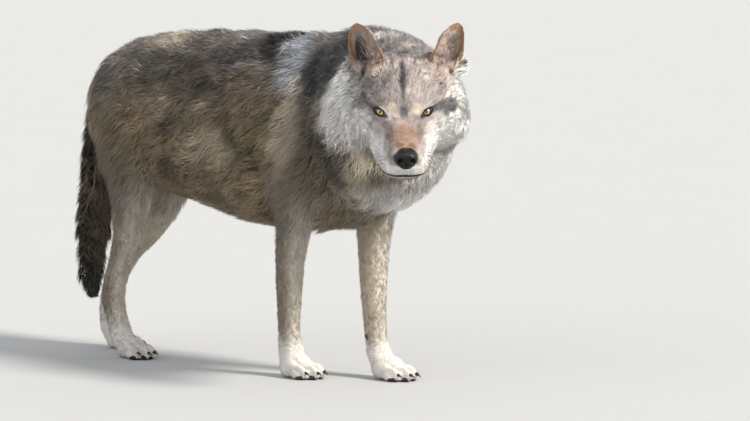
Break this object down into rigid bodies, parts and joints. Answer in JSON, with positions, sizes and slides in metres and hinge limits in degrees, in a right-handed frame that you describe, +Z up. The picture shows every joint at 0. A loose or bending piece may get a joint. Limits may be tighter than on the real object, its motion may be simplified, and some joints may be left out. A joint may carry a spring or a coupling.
{
  "type": "wolf",
  "caption": "Standing grey wolf in winter coat, life-size and still, with its head turned to its right.",
  "frame": {"origin": "on the ground under the middle of the animal's bounding box", "axes": "+X towards the head end, along the body; +Y to the animal's left; +Z up"},
  "size_m": [1.16, 0.4088, 0.7538],
  "materials": {
    "grizzled_coat": "dense grizzled fur, grey-brown with black-tipped guard hairs",
    "mane": "long grey mane fur, pale behind the head",
    "face_fur": "short salt-and-pepper fur with white cheeks",
    "pale_fur": "short whitish fur",
    "dark_fur": "long dark fur, buff within",
    "ear_fur": "short orange-tan fur with a pale lining",
    "leg_fur": "short buff fur, paler in front",
    "eye": "wet amber eye with a black pupil",
    "nose_skin": "moist black pebbled skin",
    "claw": "worn dark horn"
  },
  "bodies": {
    "root": {"claw_fore_left_1": "claw", "claw_fore_left_2": "claw", "claw_fore_left_3": "claw", "claw_fore_left_4": "claw", "claw_fore_right_1": "claw", "claw_fore_right_2": "claw", "claw_fore_right_3": "claw", "claw_fore_right_4": "claw", "claw_hind_left_1": "claw", "claw_hind_left_2": "claw", "claw_hind_left_3": "claw", "claw_hind_left_4": "claw", "claw_hind_right_1": "claw", "claw_hind_right_2": "claw", "claw_hind_right_3": "claw", "claw_hind_right_4": "claw", "dewclaw_left": "claw", "dewclaw_right": "claw", "ear_left": "ear_fur", "ear_right": "ear_fur", "eye_left": "eye", "eye_right": "eye", "foreleg_left": "leg_fur", "foreleg_right": "leg_fur", "head": "face_fur", "hindleg_left": "leg_fur", "hindleg_right": "leg_fur", "lower_jaw": "pale_fur", "neck": "mane", "nose": "nose_skin", "paw_fore_left": "pale_fur", "paw_fore_right": "pale_fur", "paw_hind_left": "pale_fur", "paw_hind_right": "pale_fur", "tail": "dark_fur", "trunk": "grizzled_coat"}
  },
  "joints": []
}
